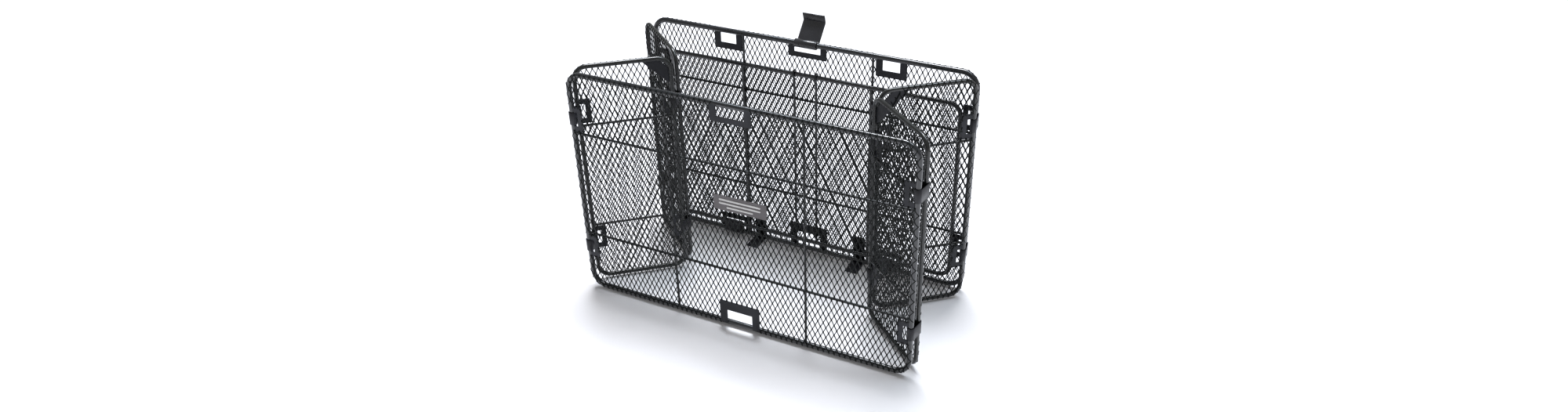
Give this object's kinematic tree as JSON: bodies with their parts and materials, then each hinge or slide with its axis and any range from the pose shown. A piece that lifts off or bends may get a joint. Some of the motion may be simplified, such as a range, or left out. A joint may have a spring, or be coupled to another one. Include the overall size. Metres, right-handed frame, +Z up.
{
  "type": "folding bicycle side basket",
  "caption": "Half-folded bicycle side basket: black mesh panels in round-bar frames, joined by sheet straps, with a folded-up floor and a latch hook.",
  "frame": {"origin": "middle of the bounding box's footprint, on the ground", "axes": "+X along the long panels, +Y towards the bicycle rack, +Z up"},
  "size_m": [0.4062, 0.201, 0.3013],
  "materials": {
    "frame_bar": "glossy black powder coat",
    "mesh": "satin black powder coat",
    "rod": "glossy black powder coat",
    "sheet_plate": "satin black powder coat",
    "strap": "satin black powder coat, worn brighter on the bends",
    "label": null
  },
  "bodies": {
    "back": {"back_frame": "frame_bar", "back_mesh": "mesh", "back_rods": "rod", "left_floor_tongue": "sheet_plate", "right_floor_tongue": "sheet_plate"},
    "front": {"front_frame": "frame_bar", "front_mesh": "mesh", "front_rods": "rod", "label_plate": "label"},
    "floor": {"floor_frame": "frame_bar", "floor_mesh": "mesh", "floor_left_rod": "rod", "floor_right_rod": "rod", "floor_centre_left_wire": "rod", "floor_centre_right_wire": "rod", "floor_left_strap": "strap", "floor_right_strap": "strap"},
    "latch": {"latch_hook": "strap"},
    "left_rear_half": {"left_rear_frame": "frame_bar", "left_rear_mesh": "mesh", "left_rear_corner_brace": "sheet_plate", "left_rear_upper_rod": "rod", "left_rear_lower_rod": "rod"},
    "left_front_half": {"left_front_frame": "frame_bar", "left_front_mesh": "mesh", "left_front_corner_brace": "sheet_plate", "left_front_upper_rod": "rod", "left_front_lower_rod": "rod"},
    "right_rear_half": {"right_rear_frame": "frame_bar", "right_rear_mesh": "mesh", "right_rear_corner_brace": "sheet_plate", "right_rear_upper_rod": "rod", "right_rear_lower_rod": "rod"},
    "right_front_half": {"right_front_frame": "frame_bar", "right_front_mesh": "mesh", "right_front_corner_brace": "sheet_plate", "right_front_upper_rod": "rod", "right_front_lower_rod": "rod"},
    "back_left_straps": {"back_left_upper_strap": "strap", "back_left_lower_strap": "strap"},
    "back_right_straps": {"back_right_upper_strap": "strap", "back_right_lower_strap": "strap"},
    "front_left_straps": {"front_left_upper_strap": "strap", "front_left_lower_strap": "strap"},
    "front_right_straps": {"front_right_upper_strap": "strap", "front_right_lower_strap": "strap"},
    "ridge_left_straps": {"ridge_left_upper_strap": "strap", "ridge_left_lower_strap": "strap"},
    "ridge_right_straps": {"ridge_right_upper_strap": "strap", "ridge_right_lower_strap": "strap"}
  },
  "joints": [
    {"name": "side_fold", "type": "hinge", "parent": "left_rear_half", "child": "left_front_half", "pos_m": [-0.1181, -0.0099, 0.1393], "axis": [0, 0, -1], "range_deg": [-100.4, 78.4]},
    {"name": "back_left_strap_swing", "type": "hinge", "parent": "back", "child": "back_left_straps", "pos_m": [-0.197, 0.0761, 0.1393], "axis": [0, 0, -1], "range_deg": [-50.2, 39.2]},
    {"name": "left_rear_hinge", "type": "hinge", "parent": "back_left_straps", "child": "left_rear_half", "pos_m": [-0.19959, 0.06275, 0.1393], "axis": [0, 0, 1], "range_deg": [-100.4, 78.4]},
    {"name": "left_ridge_strap_turn", "type": "hinge", "parent": "left_rear_half", "child": "ridge_left_straps", "pos_m": [-0.11969, -0.00382, 0.1393], "axis": [0, 0, -1], "range_deg": [-50.2, 39.2]},
    {"name": "left_front_hinge", "type": "hinge", "parent": "left_front_half", "child": "front_left_straps", "pos_m": [-0.19959, -0.08255, 0.1393], "axis": [0, 0, 1], "range_deg": [-100.4, 78.4]},
    {"name": "front_left_strap_swing", "type": "hinge", "parent": "front_left_straps", "child": "front", "pos_m": [-0.197, -0.0959, 0.1393], "axis": [0, 0, -1], "range_deg": [-50.2, 39.2]},
    {"name": "back_right_strap_swing", "type": "hinge", "parent": "back", "child": "back_right_straps", "pos_m": [0.197, 0.0761, 0.1393], "axis": [0, 0, 1], "range_deg": [-50.2, 39.2]},
    {"name": "right_rear_hinge", "type": "hinge", "parent": "back_right_straps", "child": "right_rear_half", "pos_m": [0.19959, 0.06275, 0.1393], "axis": [0, 0, -1], "range_deg": [-100.4, 78.4]},
    {"name": "right_ridge_strap_turn", "type": "hinge", "parent": "right_rear_half", "child": "ridge_right_straps", "pos_m": [0.11969, -0.00382, 0.1393], "axis": [0, 0, 1], "range_deg": [-50.2, 39.2]},
    {"name": "right_side_fold", "type": "hinge", "parent": "right_rear_half", "child": "right_front_half", "pos_m": [0.1181, -0.0099, 0.1393], "axis": [0, 0, 1], "range_deg": [-100.4, 78.4]},
    {"name": "right_front_hinge", "type": "hinge", "parent": "right_front_half", "child": "front_right_straps", "pos_m": [0.19959, -0.08255, 0.1393], "axis": [0, 0, -1], "range_deg": [-100.4, 78.4]},
    {"name": "floor_tilt", "type": "hinge", "parent": "back", "child": "floor", "pos_m": [0, 0.0761, 0.0048], "axis": [1, 0, 0], "range_deg": [0, 0.15]},
    {"name": "latch_swing", "type": "hinge", "parent": "back", "child": "latch", "pos_m": [0, 0.0761, 0.2738], "axis": [1, 0, 0], "range_deg": [-40, 133]}
  ],
  "couplings": [
    {"joint": "back_left_strap_swing", "follows": "side_fold", "ratio": 0.5},
    {"joint": "left_rear_hinge", "follows": "side_fold", "ratio": 1},
    {"joint": "left_ridge_strap_turn", "follows": "side_fold", "ratio": 0.5},
    {"joint": "left_front_hinge", "follows": "side_fold", "ratio": 1},
    {"joint": "front_left_strap_swing", "follows": "side_fold", "ratio": 0.5},
    {"joint": "back_right_strap_swing", "follows": "side_fold", "ratio": 0.5},
    {"joint": "right_rear_hinge", "follows": "side_fold", "ratio": 1},
    {"joint": "right_ridge_strap_turn", "follows": "side_fold", "ratio": 0.5},
    {"joint": "right_side_fold", "follows": "side_fold", "ratio": 1},
    {"joint": "right_front_hinge", "follows": "side_fold", "ratio": 1}
  ]
}
